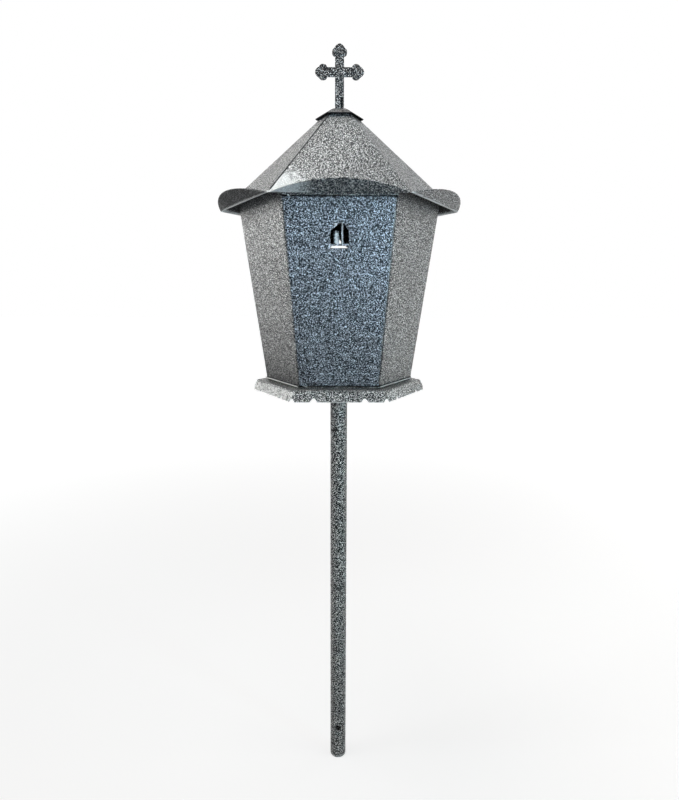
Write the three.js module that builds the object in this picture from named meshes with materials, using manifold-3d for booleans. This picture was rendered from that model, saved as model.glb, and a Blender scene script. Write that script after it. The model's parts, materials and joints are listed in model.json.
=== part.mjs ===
// Grave lantern: a hexagonal sheet-steel lantern with a hinged front door, a pyramid roof with
// turned-up eaves, a cap and a cross, standing on a scalloped tray on top of a round pole.
// Millimetres, +Z up, the door faces -Y. The origin is the centre of the pole's lower end.

import * as THREE from "three";
import { mergeVertices } from "three/addons/utils/BufferGeometryUtils.js";
import Module from "manifold-3d";

const wasm = await Module();
wasm.setup();

// Sheet metal and clearances
const sheet = 1.0;
const fitGap = 0.3;
const holeClearance = 0.3;

// Pole
const poleRadius = 11;
const poleWall = 1.5;
const poleHoleRadius = 4.5;
const poleHoleHeight = 48.5;

// Tray: a hexagonal plate with a flared, scalloped skirt; its ledge is the part outside the body
const trayHeight = 554;
const trayThickness = 1.5;
const trayLedge = 11.4;
const skirtDepth = 13;
const skirtFlare = 4.8;
const notchOffset = 30;
const notchWidth = 8;
const notchDepth = 3.8;
const cornerNotchWidth = 5.6;

// Flange that joins the pole to the tray
const flangeWidth = 19;
const flangeThickness = 3;
const flangeScrewInset = 9;
const flangeScrewCount = 4;
const flangeScrewRadius = 2.5;
const flangeScrewHead = 4.7;
const flangeScrewHeadHeight = 2.8;
const flangeNutFlats = 8;
const flangeNutHeight = 4;

// Body: six panels that lean outwards
const bodyFootApothem = 80.4;
const bodyLean = THREE.MathUtils.degToRad(7.02);
const footFlangeWidth = 12;
const footHemHeight = 1.4;
const footHemStep = 0.8;
const topFlangeWidth = 11;
const bodyRivetRadius = 2;
const bodyRivetHead = 4;
const bodyRivetHeadHeight = 1.1;
const bodyRivetTail = 3;
const bodyRivetTailHeight = 2.2;
const bodyRivetInset = 6.5;

// Roof: six panels, each with a turned-up flap shaped as a segment of a circle. The eave's height is
// measured from the tray, its overhang from the outside of the walls.
const eaveRise = 207.4;
const eaveOverhang = 19.9;
const roofPitch = THREE.MathUtils.degToRad(45);
const roofFlatApothem = 15.5;
const flapLength = 22.2;
const flapAngle = THREE.MathUtils.degToRad(27);
const flapEndMargin = 1.5;

// Doorway in the front panel, measured up the panel's slope: its sill from the foot, its head from
// the eave's level
const doorwayLow = 1.7;
const doorwayHeadRise = 1.3;
const doorwayLip = 0.6;
const doorStopDrop = 7;

// Door
const doorSideGap = 1.0;
const doorTopGap = 1.0;
const doorLift = 2.0;
const doorRim = 9;

// Door pivots: pins on one slanted line behind the door's left edge
const pivotInset = 7.5;
const pivotDepth = 4.4;
const pivotRadius = 1.5;
const pivotHeadRadius = 3;
const pivotHeadHeight = 1.2;
const pivotReach = 2.2;
const spacerRadius = 3;

// Door window: a gabled opening over a slot, with a mullion under the apex and a round-topped tongue.
// The drop is from the doorway's head to the window's sill.
const windowDrop = 53.6;
const windowHalfWidth = 10;
const windowShoulder = 17.8;
const windowApex = 25.6;
const windowApexOffset = 2.8;
const windowSlot = 2.4;
const windowBar = 2.2;
const mullionWidth = 2.4;
const tongueOffset = -3.3;
const tongueWidth = 5.4;
const tongueHeight = 18;

// Rear window, a plain gabled opening whose apex lies below the eave's level
const rearWindowDrop = 21.4;
const rearWindowHeight = 80;
const rearWindowHalfWidth = 24;

// Spring catch inside the right-hand panel
const catchHeight = 96;
const catchWidth = 12;
const catchThickness = 0.8;
const catchFoot = 34;
const catchBend = 13;
const catchGap = 0.6;
const catchNoseDepth = 6.5;
const catchTipDepth = 4.5;
const catchTipTurn = 1.1;

// Cap over the tip of the roof, folded above the roof's own fold
const capShoulder = 3.7;
const capBrimWidth = 9.5;
const capLift = 1.7;
const capButtonRise = 2.1;
const capRimDrop = 6.2;

// Cross and its bracket, measured from the cross's foot
const crossHeight = 73.7;
const crossArmRise = 42.9;
const crossHalfSpan = 29;
const crossThickness = 2;
const crossBarWidth = 10.6;
const budLength = 14.2;
const budHalfWidth = 8.8;
const budNeckRise = 0.4;
const budWidest = 5.1;
const budShoulder = 2.6;
const budShoulderRise = 4.2;
const budTipPull = 3.2;
const slitLow = 1.3;
const slitHigh = 3.9;
const slitHeight = 16;
const bracketThickness = 1.5;
const bracketHalfWidth = 4.8;
const bracketHeight = 17.5;
const bracketFoot = 11.5;
const capScrewStandOff = 0.45;
const capScrewRadius = 1.5;
const capScrewHead = 2.75;
const capScrewHeadHeight = 1.8;
const capNutFlats = 5.5;
const capNutHeight = 2.4;
const spacerWall = 1.2;

// Shared by all screws, rivets and pins: the end chamfer, and the shape of a domed head as shares of
// its radius and height
const endChamfer = 0.3;
const headRimShare = 0.5;
const headCrownRadius = 0.75;
const headCrownHeight = 0.9;

// Values that follow from the ones above
const sides = 6;
const halfAngle = Math.PI / sides;
const cosLean = Math.cos(bodyLean);
const sinLean = Math.sin(bodyLean);
const trayUnder = trayHeight - trayThickness;
const trayApothem = bodyFootApothem + trayLedge;
const flangeTop = trayUnder - fitGap;
const flangeUnder = flangeTop - flangeThickness;
const flangeRadius = poleRadius + flangeWidth;
const flangeScrewDistance = flangeRadius - flangeScrewInset;
const bodyFoot = trayHeight + fitGap;
const footFlangeTop = bodyFoot + sheet;
const eaveHeight = trayHeight + eaveRise;
const eaveApothem = bodyFootApothem + (eaveHeight - bodyFoot) * Math.tan(bodyLean) + eaveOverhang;
const doorwayHigh = (eaveHeight - bodyFoot) / cosLean + doorwayHeadRise;
const doorLow = doorwayLow + doorLift;
const doorHigh = doorwayHigh - doorTopGap;
const doorMargin = doorwayLip + doorSideGap;
const windowLow = doorwayHigh - windowDrop;
const edgeSlope = sinLean * Math.tan(halfAngle);
const edgeAngle = Math.atan(edgeSlope);
const roofFlatHeight = eaveHeight + (eaveApothem - roofFlatApothem) * Math.tan(roofPitch);
const roofFlatUnder = roofFlatHeight - sheet / 2;
const capFoldApothem = roofFlatApothem;
const capFoldHeight = roofFlatHeight + capLift;
const capButtonHeight = capFoldHeight + capButtonRise;
const capTop = capButtonHeight + sheet / 2;
const crossFoot = capTop + fitGap;
const crossTop = crossFoot + crossHeight;
const crossArmHeight = crossFoot + crossArmRise;
const bracketFront = crossThickness / 2 + fitGap;
const capScrewOffset = bracketFront + bracketThickness + capScrewStandOff + capScrewHead;

const steelGrey = { color: 0x7d858a, roughness: 0.42, metalness: 0.75 };
const zincGrey = { color: 0xa9adb0, roughness: 0.35, metalness: 0.9 };
const springGrey = { color: 0x8f9396, roughness: 0.3, metalness: 0.95 };
const darkGrey = { color: 0x666e73, roughness: 0.45, metalness: 0.75 };

// A closed geometry as a solid, with shared vertices merged and empty triangles dropped.
function solidOf(geometry) {
  const bare = geometry.index ? geometry.toNonIndexed() : geometry.clone();
  bare.deleteAttribute("normal");
  bare.deleteAttribute("uv");
  const merged = mergeVertices(bare, 1e-4);
  const corners = Array.from(merged.index.array);
  const kept = [];
  for (let i = 0; i < corners.length; i += 3) {
    const [a, b, c] = corners.slice(i, i + 3);
    if (a !== b && b !== c && c !== a) kept.push(a, b, c);
  }
  const vertProperties = new Float32Array(merged.attributes.position.array);
  const triVerts = new Uint32Array(kept);
  return new wasm.Manifold(new wasm.Mesh({ numProp: 3, vertProperties, triVerts }));
}

// A solid as a geometry with flat-shaded faces.
function geometryOf(solid) {
  const mesh = solid.getMesh();
  const geometry = new THREE.BufferGeometry();
  geometry.setAttribute("position", new THREE.BufferAttribute(new Float32Array(mesh.vertProperties), 3));
  geometry.setIndex(new THREE.BufferAttribute(new Uint32Array(mesh.triVerts), 1));
  const flat = geometry.toNonIndexed();
  flat.computeVertexNormals();
  return flat;
}

function joined(solids) {
  return solids.reduce((sum, solid) => sum.add(solid));
}

function without(solid, cutters) {
  return cutters.reduce((rest, cutter) => rest.subtract(cutter), solid);
}

// The outline of a bent sheet: its middle line widened by half the thickness to each side, with
// mitred bends and square ends.
function sheetOutline(path, thickness) {
  const points = path.map(([x, y]) => new THREE.Vector2(x, y));
  const directions = points.slice(1).map((point, i) => point.clone().sub(points[i]).normalize());
  const offsetAt = (i) => {
    const before = directions[Math.max(i - 1, 0)];
    const after = directions[Math.min(i, directions.length - 1)];
    const bisector = new THREE.Vector2(-before.y - after.y, before.x + after.x).normalize();
    const stretch = thickness / 2 / bisector.dot(new THREE.Vector2(-after.y, after.x));
    return bisector.multiplyScalar(stretch);
  };
  const left = points.map((point, i) => point.clone().add(offsetAt(i)));
  const right = points.map((point, i) => point.clone().sub(offsetAt(i)));
  return left.concat(right.reverse());
}

// Turns an outline of (distance from the axis, height) round Z. The outline may run either way round.
function turned(outline, segments, startAngle = 0) {
  const ring = THREE.ShapeUtils.isClockWise(outline) ? outline.slice().reverse() : outline.slice();
  ring.push(ring[0].clone());
  const geometry = new THREE.LatheGeometry(ring, segments, startAngle);
  return geometry.rotateX(Math.PI / 2);
}

// The same with six flat sides, one of them facing -Y; distances are measured to the flats.
function hexTurned(outline) {
  const stretch = 1 / Math.cos(halfAngle);
  const stretched = outline.map((point) => new THREE.Vector2(point.x * stretch, point.y));
  return turned(stretched, sides, halfAngle);
}

function outlineOf(pairs) {
  return pairs.map(([x, y]) => new THREE.Vector2(x, y));
}

// A box between two opposite corners.
function boxBetween([x0, y0, z0], [x1, y1, z1]) {
  const geometry = new THREE.BoxGeometry(x1 - x0, y1 - y0, z1 - z0);
  return geometry.translate((x0 + x1) / 2, (y0 + y1) / 2, (z0 + z1) / 2);
}

// The outline of a domed head, from the rim of its underside to its crown on the axis.
function domedHead(radius, low, height) {
  return [
    [radius, low],
    [radius, low + height * headRimShare],
    [radius * headCrownRadius, low + height * headCrownHeight],
    [0, low + height],
  ];
}

// A flat shape in the X-Z plane with its thickness along +Y from the given start.
function platedXZ(shape, thickness, start = 0, curveSegments = 8) {
  const options = { depth: thickness, bevelEnabled: false, curveSegments };
  const geometry = new THREE.ExtrudeGeometry(shape, options);
  return geometry.rotateX(Math.PI / 2).translate(0, start + thickness, 0);
}

// A round bar along Z between two heights.
function bar(radius, low, high, segments = 24) {
  const geometry = new THREE.CylinderGeometry(radius, radius, high - low, segments);
  return geometry.rotateX(Math.PI / 2).translate(0, 0, (low + high) / 2);
}

// Half the width of a body panel's outer face at a distance up its slope.
function panelHalfWidth(slopeHeight) {
  return (bodyFootApothem + slopeHeight * sinLean) * Math.tan(halfAngle);
}

// The outline of the front panel between two slope heights, drawn in by a margin at both sides.
function panelShape(low, high, margin) {
  const shape = new THREE.Shape();
  shape.moveTo(-panelHalfWidth(low) + margin, low);
  shape.lineTo(panelHalfWidth(low) - margin, low);
  shape.lineTo(panelHalfWidth(high) - margin, high);
  shape.lineTo(-panelHalfWidth(high) + margin, high);
  shape.closePath();
  return shape;
}

// Moves a geometry from the front panel's own frame (X across, Y inwards, Z up the slope, origin at
// the foot of its outer face) into the lantern's frame.
function toLantern(geometry) {
  return geometry.rotateX(bodyLean).translate(0, -bodyFootApothem, bodyFoot);
}

// Moves a geometry from the frame of the pivot line into the front panel's frame.
function ontoPivotLine(geometry) {
  return geometry.rotateY(-edgeAngle).translate(pivotInset - panelHalfWidth(0), pivotDepth, 0);
}

function mesh(name, geometry, finish) {
  const made = new THREE.Mesh(geometry, new THREE.MeshStandardMaterial(finish));
  made.name = name;
  return made;
}

function poleTube() {
  const top = flangeUnder - fitGap;
  const wall = outlineOf([
    [poleRadius - poleWall, 0],
    [poleRadius, 0],
    [poleRadius, top],
    [poleRadius - poleWall, top],
  ]);
  const crossHole = bar(poleHoleRadius, -2 * poleRadius, 2 * poleRadius, 32);
  crossHole.rotateX(Math.PI / 2).translate(0, 0, poleHoleHeight);
  return geometryOf(without(solidOf(turned(wall, 48)), [solidOf(crossHole)]));
}

function flangeScrewPlaces() {
  const places = [];
  for (let i = 0; i < flangeScrewCount; i += 1) {
    const angle = ((i + 0.5) * 2 * Math.PI) / flangeScrewCount;
    places.push([flangeScrewDistance * Math.cos(angle), flangeScrewDistance * Math.sin(angle)]);
  }
  return places;
}

function flangeScrewHoles(low, high) {
  const radius = flangeScrewRadius + holeClearance;
  return flangeScrewPlaces().map(([x, y]) => solidOf(bar(radius, low, high).translate(x, y, 0)));
}

function poleFlange() {
  const disc = solidOf(bar(flangeRadius, flangeUnder, flangeTop, 48));
  return geometryOf(without(disc, flangeScrewHoles(flangeUnder - sheet, flangeTop + sheet)));
}

function flangeScrew() {
  const headLow = trayHeight + fitGap;
  const tip = flangeUnder - fitGap - flangeNutHeight - sheet;
  const profile = outlineOf([
    [0, tip],
    [flangeScrewRadius - endChamfer, tip],
    [flangeScrewRadius, tip + endChamfer],
    [flangeScrewRadius, headLow],
    ...domedHead(flangeScrewHead, headLow, flangeScrewHeadHeight),
  ]);
  return turned(profile, 24);
}

// A hexagon nut with its upper face at the given height.
function nut(flats, boreRadius, height, top) {
  const shape = new THREE.Shape();
  for (let i = 0; i < sides; i += 1) {
    const angle = (i * 2 * Math.PI) / sides;
    const corner = flats / 2 / Math.cos(halfAngle);
    const point = [corner * Math.cos(angle), corner * Math.sin(angle)];
    if (i === 0) shape.moveTo(...point);
    else shape.lineTo(...point);
  }
  shape.closePath();
  const bore = new THREE.Path();
  bore.absarc(0, 0, boreRadius, 0, 2 * Math.PI, true);
  shape.holes.push(bore);
  const options = { depth: height, bevelEnabled: false, curveSegments: 12 };
  return new THREE.ExtrudeGeometry(shape, options).translate(0, 0, top - height);
}

// A cutter for one notch in the skirt: a rounded wedge that runs outwards through the skirt.
function notchCutter(offset, width, depth, angle) {
  const low = trayHeight - skirtDepth;
  const shape = new THREE.Shape();
  shape.moveTo(-width / 2 - depth, low - depth);
  shape.lineTo(width / 2 + depth, low - depth);
  shape.lineTo(width / 2, low);
  shape.quadraticCurveTo(width / 4, low + depth, 0, low + depth);
  shape.quadraticCurveTo(-width / 4, low + depth, -width / 2, low);
  shape.closePath();
  const reach = trayApothem / 2;
  const cutter = platedXZ(shape, reach, -trayApothem - skirtFlare - reach / 2, 5);
  return solidOf(cutter.translate(offset, 0, 0).rotateZ(angle));
}

// Cutters for the gap at one corner of the skirt, which runs outwards along the corner.
function cornerCutter(angle) {
  const low = trayHeight - skirtDepth;
  const reach = trayApothem / 2;
  const shape = new THREE.Shape();
  shape.moveTo(-cornerNotchWidth / 2, low - notchDepth);
  shape.lineTo(cornerNotchWidth / 2, low - notchDepth);
  shape.quadraticCurveTo(cornerNotchWidth / 4, low + notchDepth, 0, low + notchDepth);
  shape.quadraticCurveTo(-cornerNotchWidth / 4, low + notchDepth, -cornerNotchWidth / 2, low - notchDepth);
  const start = -(trayApothem + skirtFlare) / Math.cos(halfAngle) - reach / 4;
  return solidOf(platedXZ(shape, reach, start, 5).rotateZ(angle));
}

function tray() {
  const middle = trayHeight - trayThickness / 2;
  const outline = sheetOutline(
    [
      [0, middle],
      [trayApothem - trayThickness / 2, middle],
      [trayApothem + skirtFlare - trayThickness / 2, trayHeight - skirtDepth],
    ],
    trayThickness,
  );
  const cutters = [];
  for (let i = 0; i < sides; i += 1) {
    const angle = (i * 2 * Math.PI) / sides;
    cutters.push(notchCutter(notchOffset, notchWidth, notchDepth, angle));
    cutters.push(notchCutter(-notchOffset, notchWidth, notchDepth, angle));
    cutters.push(cornerCutter(angle + halfAngle));
  }
  const rivetHoles = bodyRivetAngles().map((angle) => bodyRivetHole(angle));
  const screwHoles = flangeScrewHoles(trayUnder - sheet, trayHeight + sheet);
  const pivotHole = solidOf(pivotBore());
  const plate = solidOf(hexTurned(outline));
  return geometryOf(without(plate, [...cutters, ...rivetHoles, ...screwHoles, pivotHole]));
}

// The clearance hole that both pivot pins pass through, drilled along the pivot line.
function pivotBore() {
  const radius = pivotRadius + holeClearance;
  const reach = doorwayLow + trayThickness + 3 * sheet;
  return toLantern(ontoPivotLine(bar(radius, -reach, doorwayHigh + 3 * sheet)));
}

function bodyRivetAngles() {
  return Array.from({ length: sides }, (_, i) => (i * 2 * Math.PI) / sides);
}

function bodyRivetPlace(angle) {
  const distance = bodyFootApothem - bodyRivetInset;
  return [distance * Math.sin(angle), -distance * Math.cos(angle)];
}

function bodyRivetHole(angle) {
  const [x, y] = bodyRivetPlace(angle);
  const hole = bar(bodyRivetRadius + holeClearance, trayUnder - sheet, footFlangeTop + sheet);
  return solidOf(hole.translate(x, y, 0));
}

// A blind rivet through the foot flange and the tray, its tail under the tray.
function bodyRivet(angle) {
  const headLow = footFlangeTop + fitGap;
  const tailTop = trayUnder - fitGap;
  const profile = outlineOf([
    [0, tailTop - bodyRivetTailHeight],
    [bodyRivetTail - endChamfer, tailTop - bodyRivetTailHeight],
    [bodyRivetTail, tailTop],
    [bodyRivetRadius, tailTop],
    [bodyRivetRadius, headLow],
    ...domedHead(bodyRivetHead, headLow, bodyRivetHeadHeight),
  ]);
  const [x, y] = bodyRivetPlace(angle);
  return turned(profile, 20).translate(x, y, 0);
}

// Where the body's wall meets the flange that lies under the roof, on their middle lines.
function bodyWallTop() {
  const wallFoot = bodyFootApothem - sheet / 2 / cosLean;
  const roofLine = eaveHeight + eaveApothem * Math.tan(roofPitch);
  const flangeLine = roofLine - (sheet + fitGap) / Math.cos(roofPitch);
  const lean = Math.tan(bodyLean);
  const apothem = (wallFoot + lean * (flangeLine - bodyFoot)) / (1 + lean * Math.tan(roofPitch));
  return [apothem, flangeLine - apothem * Math.tan(roofPitch)];
}

function gabledShape(halfWidth, low, shoulder, apex, apexOffset = 0) {
  const shape = new THREE.Shape();
  shape.moveTo(-halfWidth, low);
  shape.lineTo(halfWidth, low);
  shape.lineTo(halfWidth, shoulder);
  shape.lineTo(apexOffset, apex);
  shape.lineTo(-halfWidth, shoulder);
  shape.closePath();
  return shape;
}

function bodyShell() {
  const footMiddle = bodyFoot + sheet / 2;
  const wallFoot = bodyFootApothem - sheet / 2 / cosLean;
  const [topApothem, topHeight] = bodyWallTop();
  const folded = sheetOutline(
    [
      [bodyFootApothem - footFlangeWidth, footMiddle],
      [wallFoot + (sheet / 2) * Math.tan(bodyLean), footMiddle],
      [topApothem, topHeight],
      [topApothem - topFlangeWidth * Math.cos(roofPitch), topHeight + topFlangeWidth * Math.sin(roofPitch)],
    ],
    sheet,
  );
  const hemTop = bodyFoot + footHemHeight;
  const hem = outlineOf([
    [bodyFootApothem - sheet / 2, bodyFoot],
    [bodyFootApothem + footHemStep, bodyFoot],
    [bodyFootApothem + footHemStep, hemTop],
    [bodyFootApothem - sheet / 2, hemTop],
  ]);
  const doorway = toLantern(platedXZ(panelShape(doorwayLow, doorwayHigh, doorwayLip), 6 * sheet, -3 * sheet));
  const rearApex = eaveHeight - rearWindowDrop;
  const rearShoulder = rearApex - rearWindowHalfWidth;
  const rearShape = gabledShape(rearWindowHalfWidth, rearApex - rearWindowHeight, rearShoulder, rearApex);
  const rearWindow = platedXZ(rearShape, eaveApothem, bodyFootApothem / 2);
  const walls = without(solidOf(hexTurned(folded)).add(solidOf(hexTurned(hem))), [
    solidOf(doorway),
    solidOf(rearWindow),
  ]);
  const holes = bodyRivetAngles().map((angle) => bodyRivetHole(angle));
  return geometryOf(without(walls.add(doorwayHeader()), [...holes, solidOf(pivotBore())]));
}

// The flange over the doorway, with a lip bent down behind the right half of the door as its stop.
function doorwayHeader() {
  const half = panelHalfWidth(doorwayHigh) - doorMargin;
  const stopFront = doorRim + fitGap;
  const stopBack = stopFront + sheet;
  const top = doorwayHigh + sheet;
  const flange = boxBetween([-half, sheet / 2, doorwayHigh], [half, stopBack, top]);
  const lip = boxBetween([0, stopFront, doorwayHigh - doorStopDrop], [half, stopBack, top]);
  return solidOf(toLantern(flange)).add(solidOf(toLantern(lip)));
}

// The openings of the door's window: the lights beside the mullion and the tongue, and the slot.
function doorWindowCutters() {
  const low = windowLow;
  const barTop = low + windowSlot + windowBar;
  const apex = low + windowApex;
  const frame = gabledShape(windowHalfWidth, barTop, low + windowShoulder, apex, windowApexOffset);
  const slot = new THREE.Shape();
  slot.moveTo(-windowHalfWidth, low);
  slot.lineTo(windowHalfWidth, low);
  slot.lineTo(windowHalfWidth, low + windowSlot);
  slot.lineTo(-windowHalfWidth, low + windowSlot);
  slot.closePath();
  const mullionEdge = windowApexOffset - mullionWidth / 2;
  const mullionFar = mullionEdge + mullionWidth;
  const mullion = boxBetween([mullionEdge, -3 * sheet, barTop], [mullionFar, 4 * sheet, apex + sheet]);
  const tongue = new THREE.Shape();
  tongue.moveTo(tongueOffset - tongueWidth / 2, low);
  tongue.lineTo(tongueOffset + tongueWidth / 2, low);
  tongue.absarc(tongueOffset, low + tongueHeight - tongueWidth / 2, tongueWidth / 2, 0, Math.PI, false);
  tongue.closePath();
  const lights = without(solidOf(platedXZ(frame, 4 * sheet, -sheet)), [
    solidOf(mullion),
    solidOf(platedXZ(tongue, 6 * sheet, -2 * sheet)),
  ]);
  return [lights, solidOf(platedXZ(slot, 4 * sheet, -sheet))];
}

// A strip of the door's rim: a band between two lines of the panel, as deep as the rim.
function rimStrip(corners) {
  const shape = new THREE.Shape(outlineOf(corners));
  return solidOf(platedXZ(shape, doorRim));
}

function doorPanel() {
  const lowEdge = panelHalfWidth(doorLow) - doorMargin;
  const highEdge = panelHalfWidth(doorHigh) - doorMargin;
  const plate = solidOf(platedXZ(panelShape(doorLow, doorHigh, doorMargin), sheet));
  const footRim = rimStrip([
    [-lowEdge, doorLow],
    [lowEdge, doorLow],
    [lowEdge + edgeSlope * sheet, doorLow + sheet],
    [-lowEdge - edgeSlope * sheet, doorLow + sheet],
  ]);
  const headRim = rimStrip([
    [-highEdge + edgeSlope * sheet, doorHigh - sheet],
    [highEdge - edgeSlope * sheet, doorHigh - sheet],
    [highEdge, doorHigh],
    [-highEdge, doorHigh],
  ]);
  const sideRim = rimStrip([
    [lowEdge - sheet, doorLow],
    [lowEdge, doorLow],
    [highEdge, doorHigh],
    [highEdge - sheet, doorHigh],
  ]);
  const bore = solidOf(ontoPivotLine(bar(pivotRadius + holeClearance, 0, doorwayHigh)));
  const boredRims = footRim.add(headRim).subtract(bore);
  const door = joined([plate, sideRim, boredRims]);
  return toLantern(geometryOf(without(door, doorWindowCutters())));
}

// A headed pin on the pivot line between two heights, its head beyond the second of them.
function pivotPin(tip, neck) {
  const headEnd = neck + Math.sign(neck - tip) * pivotHeadHeight;
  const outline = outlineOf([
    [0, tip],
    [pivotRadius, tip],
    [pivotRadius, neck],
    [pivotHeadRadius, neck],
    [pivotHeadRadius - endChamfer, headEnd],
    [0, headEnd],
  ]);
  return toLantern(ontoPivotLine(turned(outline, 24)));
}

// The tilt between the pivot line and a level plate lifts one side of a disc on that line.
function tiltAllowance(radius) {
  return radius * Math.tan(bodyLean + edgeAngle);
}

function upperPivot() {
  const headLow = doorwayHigh + sheet + fitGap + tiltAllowance(pivotHeadRadius);
  return pivotPin(doorHigh - sheet - pivotReach, headLow);
}

// Height on the pivot line, up the panel's slope, of a level plane in the lantern's frame.
function slopeHeightOf(level) {
  return (level - bodyFoot - pivotDepth * sinLean) / cosLean;
}

function lowerPivot() {
  const headTop = slopeHeightOf(trayUnder) - fitGap - tiltAllowance(pivotHeadRadius);
  return pivotPin(doorLow + sheet + pivotReach, headTop);
}

function pivotSpacer() {
  const low = slopeHeightOf(footFlangeTop) + fitGap + tiltAllowance(spacerRadius);
  const high = doorLow - fitGap - spacerRadius * edgeSlope;
  const wall = outlineOf([
    [pivotRadius + holeClearance, low],
    [spacerRadius, low],
    [spacerRadius, high],
    [pivotRadius + holeClearance, high],
  ]);
  return toLantern(ontoPivotLine(turned(wall, 24)));
}

// A bent leaf along the inside of the right-hand panel; its nose rests by the door's rim.
function catchSpring() {
  const outward = new THREE.Vector3(Math.cos(halfAngle) * cosLean, -Math.sin(halfAngle) * cosLean, -sinLean);
  outward.applyAxisAngle(new THREE.Vector3(1, 0, 0), -bodyLean);
  const along = new THREE.Vector2(-outward.y, outward.x).normalize();
  const inward = new THREE.Vector2(-outward.x, -outward.y).normalize();
  const standOff = sheet + fitGap + catchThickness / 2;
  const onWall = (distance) => [
    along.x * distance + inward.x * standOff,
    along.y * distance + inward.y * standOff,
  ];
  const nose = -doorMargin + catchGap + catchThickness / 2;
  const leafEnd = [nose + catchTipTurn, catchTipDepth];
  const path = [onWall(catchFoot), onWall(catchBend), [nose, catchNoseDepth], leafEnd];
  const shape = new THREE.Shape(sheetOutline(path, catchThickness));
  const leaf = new THREE.ExtrudeGeometry(shape, { depth: catchWidth, bevelEnabled: false });
  return toLantern(leaf.rotateY(edgeAngle).translate(panelHalfWidth(catchHeight), 0, catchHeight));
}

// One eave flap: a segment of a circle on the eave line, turned up by the flap angle.
function eaveFlap(angle) {
  const halfChord = eaveApothem * Math.tan(halfAngle) - flapEndMargin;
  const arcRadius = (halfChord ** 2 + flapLength ** 2) / (2 * flapLength);
  const sweep = Math.asin(halfChord / arcRadius);
  const shape = new THREE.Shape();
  shape.moveTo(-halfChord, -sheet);
  shape.lineTo(halfChord, -sheet);
  shape.lineTo(halfChord, 0);
  shape.absarc(0, flapLength - arcRadius, arcRadius, Math.PI / 2 - sweep, Math.PI / 2 + sweep, false);
  shape.closePath();
  const plate = new THREE.ExtrudeGeometry(shape, { depth: sheet, bevelEnabled: false, curveSegments: 20 });
  plate.translate(0, 0, -sheet / 2).rotateX(flapAngle);
  return plate.translate(0, eaveApothem, eaveHeight).rotateZ(angle);
}

function roofShell() {
  const outline = sheetOutline(
    [
      [0, roofFlatHeight],
      [roofFlatApothem, roofFlatHeight],
      [eaveApothem, eaveHeight],
    ],
    sheet,
  );
  const flaps = [];
  for (let i = 0; i < sides; i += 1) {
    flaps.push(solidOf(eaveFlap((i * 2 * Math.PI) / sides)));
  }
  const panels = joined([solidOf(hexTurned(outline)), ...flaps]);
  return geometryOf(without(panels, [capScrewHole(roofFlatHeight)]));
}

function capScrewHole(height) {
  const hole = bar(capScrewRadius + holeClearance, height - 2 * sheet, height + 2 * sheet);
  return solidOf(hole.translate(0, capScrewOffset, 0));
}

function roofCap() {
  const outline = sheetOutline(
    [
      [0, capButtonHeight],
      [capFoldApothem - capShoulder, capButtonHeight],
      [capFoldApothem, capFoldHeight],
      [capFoldApothem + capBrimWidth, capFoldHeight - capRimDrop],
    ],
    sheet,
  );
  return geometryOf(without(solidOf(hexTurned(outline)), [capScrewHole(capButtonHeight)]));
}

function capSpacer() {
  const inner = capScrewRadius + holeClearance;
  const low = roofFlatHeight + sheet / 2 + fitGap;
  const high = capButtonHeight - sheet / 2 - fitGap;
  const wall = outlineOf([
    [inner, low],
    [inner + spacerWall, low],
    [inner + spacerWall, high],
    [inner, high],
  ]);
  return turned(wall, 24).translate(0, capScrewOffset, 0);
}

// One budded end of the cross, from its neck round the tip to the other side of the neck. The bud
// points along +Y and its neck is on the X axis.
function budPoints() {
  const shoulder = budWidest + budShoulder;
  const path = new THREE.Path();
  path.moveTo(crossBarWidth / 2, 0);
  path.quadraticCurveTo(budHalfWidth, budNeckRise, budHalfWidth, budWidest);
  path.quadraticCurveTo(budHalfWidth, shoulder, budHalfWidth - budShoulder, budWidest + budShoulderRise);
  path.quadraticCurveTo(budTipPull, budLength, 0, budLength);
  const half = path.getPoints(6);
  const mirrored = half.slice(0, -1).reverse().map((point) => new THREE.Vector2(-point.x, point.y));
  return half.concat(mirrored);
}

// The flat cross with three budded ends and a slit in its foot.
function cross() {
  const half = crossBarWidth / 2;
  const armStart = crossHalfSpan - budLength;
  const bud = budPoints();
  const points = [
    ...outlineOf([
      [half, crossFoot],
      [half, crossArmHeight - half],
    ]),
    ...bud.map((p) => new THREE.Vector2(armStart + p.y, crossArmHeight - p.x)),
    new THREE.Vector2(half, crossArmHeight + half),
    ...bud.map((p) => new THREE.Vector2(p.x, crossTop - budLength + p.y)),
    new THREE.Vector2(-half, crossArmHeight + half),
    ...bud.map((p) => new THREE.Vector2(-armStart - p.y, crossArmHeight + p.x)),
    ...outlineOf([
      [-half, crossArmHeight - half],
      [-half, crossFoot],
    ]),
  ];
  const plate = solidOf(platedXZ(new THREE.Shape(points), crossThickness, -crossThickness / 2));
  const slitFoot = [slitLow, -crossThickness, crossFoot - slitHeight];
  const slit = boxBetween(slitFoot, [slitHigh, crossThickness, crossFoot + slitHeight]);
  return geometryOf(without(plate, [solidOf(slit)]));
}

// The angle plate behind the cross: its upright stands against the cross, its foot lies on the cap.
function crossBracket() {
  const low = capTop + fitGap;
  const side = bracketHalfWidth;
  const uprightBack = bracketFront + bracketThickness;
  const upright = boxBetween([-side, bracketFront, low], [side, uprightBack, low + bracketHeight]);
  const footBack = bracketFront + bracketFoot;
  const foot = boxBetween([-side, bracketFront, low], [side, footBack, low + bracketThickness]);
  const plates = solidOf(upright).add(solidOf(foot));
  return geometryOf(without(plates, [capScrewHole(low + bracketThickness / 2)]));
}

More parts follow.
